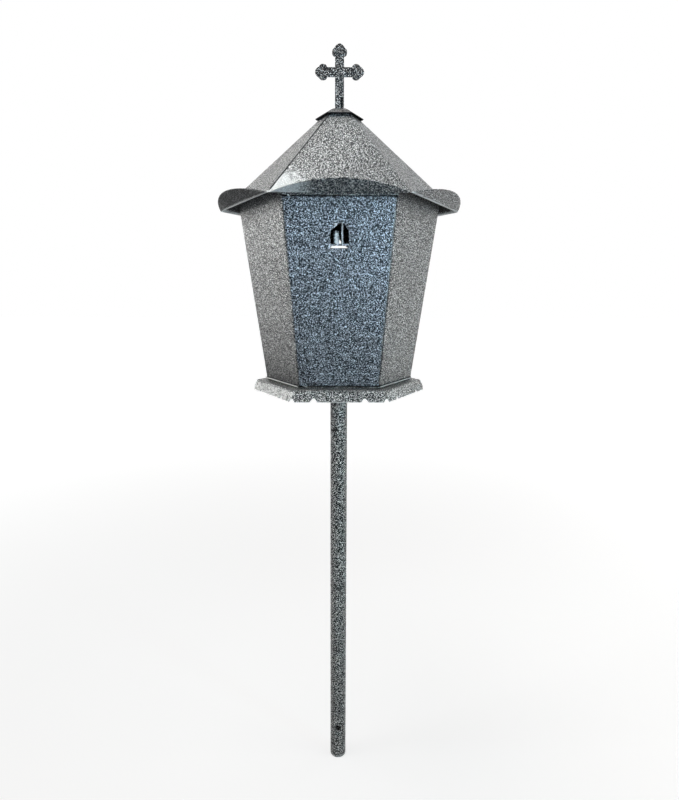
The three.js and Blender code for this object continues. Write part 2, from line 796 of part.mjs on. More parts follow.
function capScrew() {
  const headLow = capTop + 2 * fitGap + bracketThickness;
  const tip = roofFlatUnder - fitGap - capNutHeight - sheet;
  const profile = outlineOf([
    [0, tip],
    [capScrewRadius - endChamfer, tip],
    [capScrewRadius, tip + endChamfer],
    [capScrewRadius, headLow],
    ...domedHead(capScrewHead, headLow, capScrewHeadHeight),
  ]);
  return turned(profile, 24).translate(0, capScrewOffset, 0);
}

function graveLantern() {
  const lantern = new THREE.Group();
  lantern.add(mesh("pole_tube", poleTube(), steelGrey));
  lantern.add(mesh("pole_flange", poleFlange(), steelGrey));
  flangeScrewPlaces().forEach(([x, y], i) => {
    const screw = mesh(`flange_screw_${i + 1}`, flangeScrew(), zincGrey);
    const nutBore = flangeScrewRadius + holeClearance;
    const nutTop = flangeUnder - fitGap;
    const nutShape = nut(flangeNutFlats, nutBore, flangeNutHeight, nutTop);
    const flangeNut = mesh(`flange_nut_${i + 1}`, nutShape, zincGrey);
    screw.position.set(x, y, 0);
    flangeNut.position.set(x, y, 0);
    lantern.add(screw, flangeNut);
  });
  lantern.add(mesh("tray", tray(), steelGrey));
  lantern.add(mesh("body_shell", bodyShell(), steelGrey));
  bodyRivetAngles().forEach((angle, i) => {
    lantern.add(mesh(`body_rivet_${i + 1}`, bodyRivet(angle), zincGrey));
  });
  lantern.add(mesh("door_panel", doorPanel(), steelGrey));
  lantern.add(mesh("door_pivot_upper", upperPivot(), zincGrey));
  lantern.add(mesh("door_pivot_lower", lowerPivot(), zincGrey));
  lantern.add(mesh("door_pivot_spacer", pivotSpacer(), zincGrey));
  lantern.add(mesh("door_catch_spring", catchSpring(), springGrey));
  lantern.add(mesh("roof_shell", roofShell(), steelGrey));
  lantern.add(mesh("roof_cap", roofCap(), darkGrey));
  lantern.add(mesh("cap_spacer", capSpacer(), zincGrey));
  lantern.add(mesh("cross", cross(), darkGrey));
  lantern.add(mesh("cross_bracket", crossBracket(), darkGrey));
  lantern.add(mesh("cap_screw", capScrew(), zincGrey));
  const capNut = nut(capNutFlats, capScrewRadius + holeClearance, capNutHeight, roofFlatUnder - fitGap);
  lantern.add(mesh("cap_nut", capNut.translate(0, capScrewOffset, 0), zincGrey));
  return lantern;
}

export default graveLantern();
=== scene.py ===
import json
import bpy
import numpy as np
from math import cos, pi, radians, sin, sqrt, tan
from mathutils import Matrix, Vector


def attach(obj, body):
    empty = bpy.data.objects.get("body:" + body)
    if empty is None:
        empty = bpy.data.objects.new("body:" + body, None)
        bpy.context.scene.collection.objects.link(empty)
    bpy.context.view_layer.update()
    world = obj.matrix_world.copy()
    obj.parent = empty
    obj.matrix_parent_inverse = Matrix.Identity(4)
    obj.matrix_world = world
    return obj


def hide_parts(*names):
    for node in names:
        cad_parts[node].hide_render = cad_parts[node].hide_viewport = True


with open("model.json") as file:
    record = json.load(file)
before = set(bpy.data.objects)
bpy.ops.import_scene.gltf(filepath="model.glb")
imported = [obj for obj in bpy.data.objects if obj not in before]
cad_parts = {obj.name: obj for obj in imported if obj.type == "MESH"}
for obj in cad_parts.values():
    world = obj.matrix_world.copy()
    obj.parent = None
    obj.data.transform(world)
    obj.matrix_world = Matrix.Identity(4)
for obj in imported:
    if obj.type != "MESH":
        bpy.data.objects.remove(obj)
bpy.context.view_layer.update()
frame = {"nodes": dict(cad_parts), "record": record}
print("frame loaded:", len(frame["nodes"]), "nodes")

# sizes that several pieces share, in millimetres
perMetre = 1000
sheet = 1.0
lean = radians(7.02)  # of the walls
bodyFoot = 554.3
footApothem = 80.4
tan30 = tan(radians(30))
sideTurn = radians(60)  # from one side of the hexagon to the next
sideAngles = sideTurn * np.arange(6) - pi / 2  # the sides' outward directions
frontSide, frontLeft = 0, 5  # numbers of two sides
nearly = 0.01
mergeReach = 2e-6  # in metres

# camera and cords come first; this lantern has no cord
viewpoint = {"place": (-3.33, -709.67, 654.82), "tilt": -10.247, "yaw": -0.344, "roll": 0.146,
             "lens": 24.8625, "sensor": 36.0, "clip": (0.01, 50)}


def newPiece(name, data):
    # an object for a mesh, camera or lamp, in the scene
    piece = bpy.data.objects.new(name, data)
    bpy.context.scene.collection.objects.link(piece)
    return piece


def makeCamera(look):
    # turned up from straight down by 90 degrees plus the tilt, rolled about its own axis, then yawed
    data = bpy.data.cameras.new("camera")
    data.sensor_width = look["sensor"]
    data.lens = look["lens"]
    data.clip_start, data.clip_end = look["clip"]
    turned = Matrix.Translation([v / perMetre for v in look["place"]])
    for angle, axis in ((look["yaw"], "Z"), (90 + look["tilt"], "X"), (look["roll"], "Z")):
        turned @= Matrix.Rotation(radians(angle), 4, axis)
    camera = newPiece("camera", data)
    camera.matrix_world = turned
    bpy.context.scene.camera = camera


makeCamera(viewpoint)
print("camera placed")


# shapes
def circle(angle):
    # the point at each angle on a circle of radius 1
    return np.stack([np.cos(angle), np.sin(angle)], -1)


def fullTurn(count):
    # angles of evenly spaced points round a circle
    return np.linspace(0, 2 * pi, count + 1)[:-1]


def fade(value, high, at, rate):
    # high - |value - at| * rate, kept from 0 to 1
    return np.clip(high - np.abs(value - at) * rate, 0, 1)


def hexColumns(perSide, perCorner):
    # columns of a hexagon with rounded corners, side after side from the front one: each is a spot on
    # the sharp hexagon of unit apothem and the outward direction there; along runs -1 to 1 on a side
    # and on to 2 through the corner after it; bow is 1 - along^2, and 0 at the corners
    side = sideAngles[:, None]
    along = np.linspace(-1, 1, perSide) + 0 * side
    normal = circle(side + 0 * along)
    tangent = np.stack([-normal[..., 1], normal[..., 0]], -1)
    flatSpot = normal + along[..., None] * tan30 * tangent
    turn = np.linspace(0, 1, perCorner + 2)[None, 1:-1]
    corner = circle(side + sideTurn / 2 + 0 * turn)
    spot = np.concatenate([flatSpot, corner / cos(sideTurn / 2)], 1).reshape(-1, 2)
    out = np.concatenate([normal, circle(side + sideTurn * turn)], 1).reshape(-1, 2)
    along = np.concatenate([along, 1 + turn + 0 * side], 1).reshape(-1)
    number = np.repeat(np.arange(6), perSide + perCorner)
    bow = 1 - np.minimum(np.abs(along), 1) ** 2
    return {"spot": spot, "out": out, "along": along, "side": number, "atCorner": along > 1, "bow": bow}


def hexPoints(columns, apothem, height, rounding):
    # point = (apothem - rounding) * spot + rounding * out, and a small circle nearer than the rounding
    core = np.maximum(apothem - rounding, 0)[..., None] * columns["spot"]
    flat = core + np.minimum(apothem, rounding)[..., None] * columns["out"]
    return np.concatenate([flat, height[..., None] + 0 * flat[..., :1]], -1)


def dishOf(look, share, columns):
    # dish * sin(pi * share of the height) * bow
    return look["dish"] * np.sin(pi * share)[:, None] * columns["bow"]


def filletPath(corners, radius, arcSteps, spacing):
    # a path through the corners whose bends are arcs of the radius; straights are split by spacing
    corners = np.asarray(corners, float)
    parts, last = [corners[:1]], corners[0]
    for before, here, after in zip(corners[:-2], corners[1:-1], corners[2:]):
        into, away = here - before, after - here
        into, away = into / np.linalg.norm(into), away / np.linalg.norm(away)
        turn = np.arctan2(into[0] * away[1] - into[1] * away[0], into @ away)
        start = here - into * radius * tan(abs(turn) / 2)
        side = np.sign(turn) * np.array([-into[1], into[0]])
        centre = start + side * radius
        sweep = np.linspace(0, turn, arcSteps + 1)[:, None]
        spoke = -side * radius
        arc = centre + np.cos(sweep) * spoke + np.sin(sweep) * np.array([-spoke[1], spoke[0]])
        parts += [straight(last, start, spacing), arc]
        last = arc[-1]
    parts.append(straight(last, corners[-1], spacing, True))
    return np.concatenate(parts)


def straight(start, end, spacing, closed=False):
    # evenly spaced points between two ends, the last one only where nothing follows
    count = max(1, int(np.ceil(np.linalg.norm(end - start) / spacing)))
    points = start + np.linspace(0, 1, count + 1)[1:, None] * (end - start)
    return points if closed else points[:-1]


def panelPoints(x, y, z):
    # from the front panel's own frame (x across, y inwards, z up its slope) into the lantern's
    inwards = y * cos(lean) - z * sin(lean) - footApothem
    upwards = y * sin(lean) + z * cos(lean) + bodyFoot
    return np.stack(np.broadcast_arrays(x, inwards, upwards), -1)


def panelHalf(z):
    # half the width of the front panel at a distance up its slope
    return (footApothem + z * sin(lean)) * tan30


def bezier(start, pull, end, steps):
    # quadratic curve (1-t)^2 start + 2t(1-t) pull + t^2 end, without its first point
    t = np.linspace(0, 1, steps + 1)[1:, None]
    return (1 - t) ** 2 * np.array(start) + 2 * t * (1 - t) * np.array(pull) + t ** 2 * np.array(end)


# meshes
def readValues(items, label, width):
    # what each item has under the label, one row each
    values = np.empty(len(items) * width, "f")
    items.foreach_get(label, values)
    return values.reshape(-1, width)


def readPoints(mesh):
    # a mesh's points in millimetres
    return readValues(mesh.vertices, "co", 3) * perMetre


def readMark(mesh, label):
    # the values kept at the points under a label
    return readValues(mesh.attributes[label].data, "value", 1)[:, 0]


def writeMark(mesh, label, values):
    # one value for each point, kept under a label
    mark = mesh.attributes.get(label) or mesh.attributes.new(label, "FLOAT", "POINT")
    mark.data.foreach_set("value", values.reshape(-1).astype("f"))


def gridMesh(name, points, ring=False, loop=False, keep=None, **marks):
    # one quad for each cell of a grid of points[row, column], in millimetres; ring joins the last
    # column to the first, loop the last row to the first; marks are values kept at the points
    rows, columns = points.shape[:2]
    index = np.arange(rows * columns).reshape(rows, columns)
    if ring:
        index = np.concatenate([index, index[:, :1]], 1)
    if loop:
        index = np.concatenate([index, index[:1]], 0)
    quads = np.stack([index[:-1, :-1], index[:-1, 1:], index[1:, 1:], index[1:, :-1]], -1)
    quads = quads[keep] if keep is not None else quads.reshape(-1, 4)
    mesh = bpy.data.meshes.new(name)
    mesh.from_pydata((points.reshape(-1, 3) / perMetre).tolist(), [], quads.tolist())
    for label, values in marks.items():
        writeMark(mesh, label, values)
    mesh.validate()
    return newPiece(name, mesh)


def closedPrism(lower, upper):
    # two rings of points, their side walls and their ends
    count = len(lower)
    index = np.arange(count)
    following = np.roll(index, -1)
    sides = np.stack([index, following, following + count, index + count], -1).tolist()
    ends = [index[::-1].tolist(), (index + count).tolist()]
    mesh = bpy.data.meshes.new("cutter")
    mesh.from_pydata((np.concatenate([lower, upper]) / perMetre).tolist(), [], sides + ends)
    mesh.update()
    piece = newPiece("cutter", mesh)
    refresh(piece)
    return piece


def prism(outline, low, high):
    # a cutter: a flat outline of the front panel carried from one depth to another
    outline = np.asarray(outline, float)
    return closedPrism(*[panelPoints(outline[:, 0], depth, outline[:, 1]) for depth in (low, high)])


def drill(outline, start, length):
    # a cutter: an outline in x and z carried backwards from its start
    near = np.insert(np.asarray(outline, float), 1, start, axis=1)
    return closedPrism(near, near + [0, length, 0])


def choose(pieces):
    # the pieces alone are selected, and the first of them is active
    for other in bpy.context.selected_objects:
        other.select_set(False)
    for piece in pieces:
        piece.select_set(True)
    bpy.context.view_layer.objects.active = pieces[0]


def refresh(piece):
    # doubles merged and faces turned outwards
    choose([piece])
    bpy.ops.object.mode_set(mode="EDIT")
    bpy.ops.mesh.select_all(action="SELECT")
    bpy.ops.mesh.remove_doubles(threshold=mergeReach)
    bpy.ops.mesh.normals_make_consistent(inside=False)
    bpy.ops.object.mode_set(mode="OBJECT")


def settle(piece):
    # the modifiers' result becomes the mesh
    graph = bpy.context.evaluated_depsgraph_get()
    done = bpy.data.meshes.new_from_object(piece.evaluated_get(graph))
    piece.modifiers.clear()
    before = piece.data
    piece.data = done
    bpy.data.meshes.remove(before)


def thicken(piece, thickness):
    # equal thickness to both sides of the surface
    wall = piece.modifiers.new("thickness", "SOLIDIFY")
    wall.thickness = thickness / perMetre
    wall.offset = 0
    wall.use_even_offset = True
    settle(piece)


def foldedSheet(name, points, thickness, ring=True, **marks):
    # a grid, as a rule all round the hexagon, its doubles merged and made solid
    piece = gridMesh(name, points, ring=ring, **marks)
    refresh(piece)
    thicken(piece, thickness)
    return piece


def cut(piece, cutters):
    # takes each cutter out of the piece, then deletes it
    for cutter in cutters:
        hole = piece.modifiers.new("hole", "BOOLEAN")
        hole.operation = "DIFFERENCE"
        hole.solver = "EXACT"
        hole.object = cutter
        settle(piece)
        bpy.data.objects.remove(cutter)


def place(piece, material, nodes, body="lantern", sharp=32):
    # smooth except over the sharp angle, dressed, and carried by its body
    piece.data.shade_smooth()
    piece.data.set_sharp_from_angle(angle=radians(sharp))
    piece.data.materials.clear()
    piece.data.materials.append(material)
    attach(piece, body)
    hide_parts(*nodes)


belowShade = {"downward": 2.5, "unpaledLevel": 1.3, "paleByWearAndHighlight": 1.6}


def paintedShadeBelow(piece, amount, reach):
    # painted shade: inside the hexagon whose apothem is the reach, the painted-shade mark is at least the
    # amount wherever the surface looks down, less where the wear-and-highlight mark is high
    mesh = piece.data
    apothem = (readPoints(mesh)[:, :2] @ circle(sideAngles).T).max(axis=1)
    normals = readValues(mesh.vertex_normals, "vector", 3)
    down = np.clip(-normals[:, 2] * belowShade["downward"], 0, 1)
    bare = np.clip(belowShade["unpaledLevel"] - readMark(mesh, "wear") * belowShade["paleByWearAndHighlight"], 0, 1)
    soot = np.where(apothem < reach, down * amount * bare, 0)
    writeMark(mesh, "soot", np.maximum(readMark(mesh, "soot"), soot))


# shader nodes
def newGroup(name, inputs, outputs):
    # an empty node group; the input called Vector holds a vector, every other socket a number
    group = bpy.data.node_groups.new(name, "ShaderNodeTree")
    for way, labels in (("INPUT", inputs), ("OUTPUT", outputs)):
        for label in labels.split():
            kind = "NodeSocketVector" if label == "Vector" else "NodeSocketFloat"
            group.interface.new_socket(label, in_out=way, socket_type=kind)
    return group, group.nodes.new("NodeGroupInput").outputs, group.nodes.new("NodeGroupOutput").inputs


def feed(tree, sockets, values):
    # each value by its socket's label or number: a number or colour is set, a node's output is linked
    for label, value in values.items():
        if isinstance(value, (int, float, tuple)):
            sockets[label].default_value = value
        else:
            tree.links.new(value, sockets[label])


def mathNode(tree, operation, *values, clamp=False):
    # the operation on the values, kept from 0 to 1 where it is clamped
    node = tree.nodes.new("ShaderNodeMath")
    node.operation = operation
    node.use_clamp = clamp
    feed(tree, node.inputs, dict(enumerate(values)))
    return node.outputs[0]


def centred(tree, value, amount):
    # (value - 0.5) * amount
    return mathNode(tree, "MULTIPLY", mathNode(tree, "SUBTRACT", value, 0.5), amount)


def between(tree, value, low, high):
    # low + value * (high - low)
    return mathNode(tree, "MULTIPLY_ADD", value, high - low, low)


# numbers of the sockets that a mix node has for colours
factorSocket, firstSocket, secondSocket, resultSocket = 0, 6, 7, 2


def mixColour(tree, factor, first, second, blend="MIX"):
    # first * (1 - factor) + second * factor, or the named blend in that share
    node = tree.nodes.new("ShaderNodeMix")
    node.data_type = "RGBA"
    node.blend_type = blend
    feed(tree, node.inputs, {factorSocket: factor, firstSocket: first, secondSocket: second})
    return node.outputs[resultSocket]


def noise(tree, vector, scale, detail, roughness):
    # soft noise from 0 to 1, scale cells to the metre
    node = tree.nodes.new("ShaderNodeTexNoise")
    feed(tree, node.inputs, {"Vector": vector, "Scale": scale, "Detail": detail, "Roughness": roughness})
    return node.outputs["Fac"]


def ramp(tree, value, low, high):
    # 0 at low and 1 at high, smooth between them
    node = tree.nodes.new("ShaderNodeMapRange")
    node.interpolation_type = "SMOOTHSTEP"
    feed(tree, node.inputs, {"Value": value, "From Min": low, "From Max": high})
    return node.outputs["Result"]


def groupNode(tree, group, values):
    # a node group with its inputs fed by their labels
    node = tree.nodes.new("ShaderNodeGroup")
    node.node_tree = group
    feed(tree, node.inputs, values)
    return node.outputs


def markNode(tree, label):
    # the value that a piece keeps at its points under the label, 0 where it has none
    node = tree.nodes.new("ShaderNodeAttribute")
    node.attribute_name = label
    return node.outputs["Fac"]


def bump(tree, shader, height, distance):
    # a height of 1 raises the surface by the distance, in metres
    node = tree.nodes.new("ShaderNodeBump")
    feed(tree, node.inputs, {"Distance": distance, "Height": height})
    feed(tree, shader.inputs, {"Normal": node.outputs["Normal"]})


def newMaterial(name):
    # an empty material, its node tree and its coordinates on the object
    material = bpy.data.materials.new(name)
    material.use_nodes = True
    tree = material.node_tree
    return material, tree, tree.nodes.new("ShaderNodeTexCoord").outputs["Object"]


# shared patterns
grainShape = {"crown": (0.66, 0.10), "bulge": 0.10, "fine": (1.0, 0.5), "edge": (0.52, 0.55),
              "cloud": (22.0, 3.0, 0.55), "cloudEdge": (0.3, 0.7), "grainHeight": 0.6, "crownHeight": 0.4}
wearAndHighlightShape = {"noise": (210.0, 4.0, 0.7), "broken": 0.9, "edge": (0.5, 0.82)}
paintedShadeShape = {"noise": (120.0, 3.0, 0.6), "thickness": (0.8, 1.2)}


def grainGroup(look):
    # structured powder coat: silver grains about a millimetre across stand on a dark ground, over soft
    # clouds; a grain is where fine noise, lifted by the crown of a small cell, passes a threshold
    group, given, result = newGroup("powderGrain", "Vector Grains Cover", "Grain Cloud Height")
    vector, grains = given["Vector"], given["Grains"]
    cell = group.nodes.new("ShaderNodeTexVoronoi")
    feed(group, cell.inputs, {"Vector": vector, "Scale": grains})
    crown = ramp(group, cell.outputs["Distance"], *look["crown"])
    fine = noise(group, vector, grains, *look["fine"])
    lifted = mathNode(group, "ADD", fine, centred(group, crown, look["bulge"]))
    covered = mathNode(group, "ADD", lifted, mathNode(group, "SUBTRACT", given["Cover"], 0.5))
    grain = ramp(group, covered, *look["edge"])
    grainHeight = mathNode(group, "MULTIPLY", grain, look["grainHeight"])
    crownHeight = mathNode(group, "MULTIPLY", crown, look["crownHeight"])
    height = mathNode(group, "ADD", grainHeight, crownHeight)
    cloud = ramp(group, noise(group, vector, *look["cloud"]), *look["cloudEdge"])
    feed(group, result, {"Grain": grain, "Cloud": cloud, "Height": height})
    return group


def wearAndHighlightGroup(look):
    # rubbed edges and painted highlights: their mark times the amount, broken up by noise, past a soft
    # threshold
    group, given, result = newGroup("rubbedEdgesAndHighlights", "Vector Wear Amount", "Mask")
    broken = noise(group, given["Vector"], *look["noise"])
    lifted = mathNode(group, "MULTIPLY", given["Wear"], given["Amount"])
    summed = mathNode(group, "ADD", lifted, centred(group, broken, look["broken"]))
    feed(group, result, {"Mask": ramp(group, summed, *look["edge"])})
    return group


def paintedShadeGroup(look):
    # painted shade: the painted-shade mark, thinned and thickened by up to a fifth by noise
    group, given, result = newGroup("paintedShadeFilm", "Vector Soot", "Mask")
    patch = between(group, noise(group, given["Vector"], *look["noise"]), *look["thickness"])
    feed(group, result, {"Mask": mathNode(group, "MULTIPLY", given["Soot"], patch, clamp=True)})
    return group


powderGrain = grainGroup(grainShape)
rubbedEdgesAndHighlights = wearAndHighlightGroup(wearAndHighlightShape)
paintedShadeFilm = paintedShadeGroup(paintedShadeShape)

# finishes
# the pale colour serves rubbed edges and painted highlights, the near-black one painted shade
enamel = {"name": "silver structured powder coat", "grains": 980.0, "cover": 0.468,
          "ground": (0.004, 0.005, 0.006, 1), "silver": (0.90, 0.91, 0.90, 1),
          "cloud": (0.62, 0.63, 0.64, 1), "haze": 0.22, "paleWearAndHighlight": (0.78, 0.79, 0.78, 1), "wearAndHighlightShare": 0.64,
          "wear": 1.0, "soot": (0.006, 0.006, 0.007, 1), "roughShade": 0.95, "roughLow": 0.28,
          "roughHigh": 0.42, "metalLow": 0.05, "metalHigh": 0.40, "sheen": 0.3, "dimple": 0.00025}
darkEnamel = dict(enamel, name="dark structured powder coat", ground=(0.004, 0.004, 0.005, 1),
                  silver=(0.82, 0.78, 0.75, 1), cover=0.452, wear=0.45, grains=900.0)
# a copy of the body's coat with more silver grains: painted light that makes the tray lighter
trayLitEnamel = dict(enamel, name="structured powder coat, painted lighter", cover=0.492)
# a copy of the body's coat with fewer silver grains: painted shade that makes the pole darker
poleShadedEnamel = dict(enamel, name="structured powder coat, painted darker", cover=0.456)
# a copy of the body's coat, darker and bluer: painted shade and a painted blue reflection on the door
doorShadedBlueEnamel = dict(enamel, name="structured powder coat with painted blue-grey shade", ground=(0.002, 0.004, 0.007, 1),
                  silver=(0.75, 0.86, 1.0, 1), cover=0.458, grains=1120.0)


def structuredPowder(look):
    # colour = dark ground to silver by the grain, a little lighter in the clouds, paler where rubbed and
    # where highlights are painted, near black under painted shade; roughness = the greater of the grain's and
    # the painted shade's
    material, tree, spot = newMaterial(look["name"])
    shader = tree.nodes["Principled BSDF"]
    pattern = groupNode(tree, powderGrain, {"Vector": spot, "Grains": look["grains"], "Cover": look["cover"]})
    paleWearAndHighlight = {"Vector": spot, "Wear": markNode(tree, "wear"), "Amount": look["wear"]}
    paleByWearAndHighlight = groupNode(tree, rubbedEdgesAndHighlights, paleWearAndHighlight)["Mask"]
    paintedShadeMask = groupNode(tree, paintedShadeFilm, {"Vector": spot, "Soot": markNode(tree, "soot")})["Mask"]
    grain = pattern["Grain"]
    base = mixColour(tree, grain, look["ground"], look["silver"])
    hazy = mathNode(tree, "MULTIPLY", pattern["Cloud"], look["haze"])
    clouded = mixColour(tree, hazy, base, look["cloud"], "SOFT_LIGHT")
    paled = mixColour(tree, mathNode(tree, "MULTIPLY", paleByWearAndHighlight, look["wearAndHighlightShare"]), clouded, look["paleWearAndHighlight"])
    grainRough = between(tree, grain, look["roughHigh"], look["roughLow"])
    shadeRough = mathNode(tree, "MULTIPLY", paintedShadeMask, look["roughShade"])
    feed(tree, shader.inputs, {"Base Color": mixColour(tree, paintedShadeMask, paled, look["soot"]),
                               "Roughness": mathNode(tree, "MAXIMUM", grainRough, shadeRough),
                               "Metallic": between(tree, grain, look["metalLow"], look["metalHigh"]),
                               "Specular IOR Level": look["sheen"]})
    bump(tree, shader, pattern["Height"], look["dimple"])
    return material


zinc = {"name": "zinc plating", "colour": (0.46, 0.47, 0.48, 1), "tint": (0.62, 0.58, 0.46, 1),
        "tinted": 0.45, "patches": (240.0, 4.0, 0.6), "patchEdge": (0.42, 0.66),
        "grain": (2600.0, 2.0, 0.7), "shade": (0.15, 0.15, 0.16, 1), "shaded": 0.35, "metal": 0.9,
        "roughness": 0.34, "duller": 0.16, "scratch": 0.00004}
spring = dict(zinc, name="spring steel", colour=(0.36, 0.37, 0.38, 1), tint=(0.24, 0.24, 0.27, 1),
              roughness=0.28, scratch=0.00002)


def platedSteel(look):
    # colour = the plating, tinted in soft patches, then shaded by fine grain, which also raises it
    material, tree, spot = newMaterial(look["name"])
    shader = tree.nodes["Principled BSDF"]
    patches = ramp(tree, noise(tree, spot, *look["patches"]), *look["patchEdge"])
    grain = noise(tree, spot, *look["grain"])
    tint = mathNode(tree, "MULTIPLY", patches, look["tinted"])
    shade = mathNode(tree, "MULTIPLY", grain, look["shaded"])
    tinted = mixColour(tree, tint, look["colour"], look["tint"])
    rough = between(tree, patches, look["roughness"], look["roughness"] + look["duller"])
    feed(tree, shader.inputs, {"Base Color": mixColour(tree, shade, tinted, look["shade"]),
                               "Roughness": rough, "Metallic": look["metal"]})
    bump(tree, shader, grain, look["scratch"])
    return material


powders = (enamel, darkEnamel, trayLitEnamel, poleShadedEnamel, doorShadedBlueEnamel)
enamelPaint, darkPaint, trayLitPaint, poleShadedPaint, doorShadedBluePaint = map(structuredPowder, powders)
zincPlate, springSteel = map(platedSteel, (zinc, spring))
print("finishes made")

# tray
tray = {"top": 554.0, "thick": 1.5, "apothem": 91.8, "flare": 4.8, "drop": 13.0, "bend": 1.6, "corner": 2.2,
        "columns": (121, 9), "split": (6, 1.4), "plateStep": 4, "notchAt": 30.0, "notchWidth": 8.6,
        "notchDepth": 4.2, "notchPower": 1.6, "cornerWidth": 6.4, "cornerDepth": 3.8, "cornerPower": 1.5,
        "rimWear": (0.85, 0.4), "bendWear": 0.45, "bendReach": 1.2, "skirtWear": (0.3, 0, 0, 0, 0, 0.67)}


def notchRise(look, kind, distance):
    # depth * (1 - (distance / half width) ^ power), and nothing past the half width
    share = distance / (look[kind + "Width"] / 2)
    return look[kind + "Depth"] * np.clip(1 - share ** look[kind + "Power"], 0, 1)


def makeTray(look):
    # skirt, bend and flat plate as one folded profile round the hexagon, with fewer rows on the plate;
    # at the notches the skirt rises by notchRise, all of it at the lowest row and none at the bend
    columns = hexColumns(*look["columns"])
    half = look["thick"] / 2
    middle = look["top"] - half
    reach = look["apothem"] + look["flare"] - half
    corners = [[reach, look["top"] - look["drop"]], [look["apothem"] - half, middle], [0, middle]]
    profile = filletPath(corners, look["bend"], *look["split"])
    rows = np.arange(len(profile))
    flat = profile[:, 1] > middle - nearly
    spare = flat & ((rows - np.argmax(flat)) % look["plateStep"] > 0) & (rows < len(rows) - 1)
    apothem, height = profile[~spare].T
    share = np.clip((middle - look["bend"] - height) / (look["drop"] - half - look["bend"]), 0, 1)
    distance = np.minimum(np.abs(columns["along"]), 1) * reach * tan30
    atNotch = notchRise(look, "notch", np.abs(distance - look["notchAt"]))
    atCorner = notchRise(look, "corner", np.abs(reach * tan30 - distance))
    lift = share[:, None] * np.maximum(atNotch, atCorner)
    drawnIn = apothem[:, None] - lift * look["flare"] / look["drop"]
    points = hexPoints(columns, drawnIn, height[:, None] + lift, look["corner"])
    wear = (share > 0)[:, None] * np.take(look["skirtWear"], columns["side"])
    wear[:2] = np.maximum(wear[:2], np.array(look["rimWear"])[:, None])
    bendRows = np.abs(apothem - (look["apothem"] - half)) < look["bendReach"]
    wear[bendRows] = np.maximum(wear[bendRows], look["bendWear"])
    piece = foldedSheet("traySkin", points, look["thick"], wear=wear)
    place(piece, trayLitPaint, ["tray"])


makeTray(tray)
print("tray made")

# walls
walls = {"flange": 12.0, "topFlange": 11.0, "roofPitch": 45.0, "bend": 1.4, "corner": 2.4, "footStep": 0.06,
         "wallTop": (107.43, 777.93), "columns": (41, 6), "split": (5, 6.0), "dish": 0.25, "doorLow": 1.7,
         "doorHigh": 209.96, "lip": (0.85, 0.6), "doorCut": 6, "rearLow": 660.0, "rearHalf": 24.0,
         "rearShoulder": 716.0, "rearApex": 740.0, "rearCut": (60, 60), "cornerWear": 0.32, "topShade": 0.74,
         "topFade": 6.0, "footShade": (0.3, 0.32, 0.3, 0.4, 0.5, 0.74), "footFade": 2.7}


def makeWalls(look):
    # foot flange, leaning wall and top flange as one folded profile round the hexagon, each wall dished
    # by dishOf; the doorway and the rear window are then cut out
    columns = hexColumns(*look["columns"])
    inner = footApothem - sheet / 2 / cos(lean) + look["footStep"]
    middle = bodyFoot + sheet / 2
    wallTop, pitch = np.array(look["wallTop"]), radians(look["roofPitch"])
    topIn = wallTop + look["topFlange"] * np.array([-cos(pitch), sin(pitch)])
    corners = [[footApothem - look["flange"], middle], [inner, middle], wallTop, topIn]
    apothem, height = filletPath(corners, look["bend"], *look["split"]).T
    share = np.clip((height - bodyFoot) / (wallTop[1] - bodyFoot), 0, 1)
    dish = dishOf(look, share, columns)
    points = hexPoints(columns, apothem[:, None] - dish, height[:, None], look["corner"])
    wear = look["cornerWear"] * columns["atCorner"] + 0 * dish
    # painted shade: darker under the eave at the top and towards the foot, most on the front-left side
    paintedTopShade = look["topShade"] * np.clip((share - 1) * look["topFade"] + 1, 0, 1)[:, None]
    footFade = np.clip(1 - share * look["footFade"], 0, 1)
    paintedFootShade = footFade[:, None] * np.take(look["footShade"], columns["side"])
    piece = gridMesh("wallSkin", points, ring=True, wear=wear, soot=np.maximum(paintedTopShade, paintedFootShade))
    thicken(piece, sheet)
    left, right = look["lip"]
    low, high = look["doorLow"], look["doorHigh"]
    doorway = [[left - panelHalf(low), low], [panelHalf(low) - right, low],
               [panelHalf(high) - right, high], [left - panelHalf(high), high]]
    half, shoulder = look["rearHalf"], look["rearShoulder"]
    window = [[-half, look["rearLow"]], [half, look["rearLow"]], [half, shoulder], [0, look["rearApex"]],
              [-half, shoulder]]
    cut(piece, [prism(doorway, -look["doorCut"], look["doorCut"]), drill(window, *look["rearCut"])])
    return piece


hem = {"inside": 1.0, "low": 0.05, "beadLow": 1.2, "beadHigh": 2.7, "high": 3.9, "groove": 0.2, "bead": 1.15,
       "rounding": 0.2, "corner": 2.4, "columns": (15, 6), "split": (3, 1.0), "front": 0.36,
       "beadDeep": 0.45, "beadHighlight": 0.95, "soot": 0.92, "frontShade": 0.35}


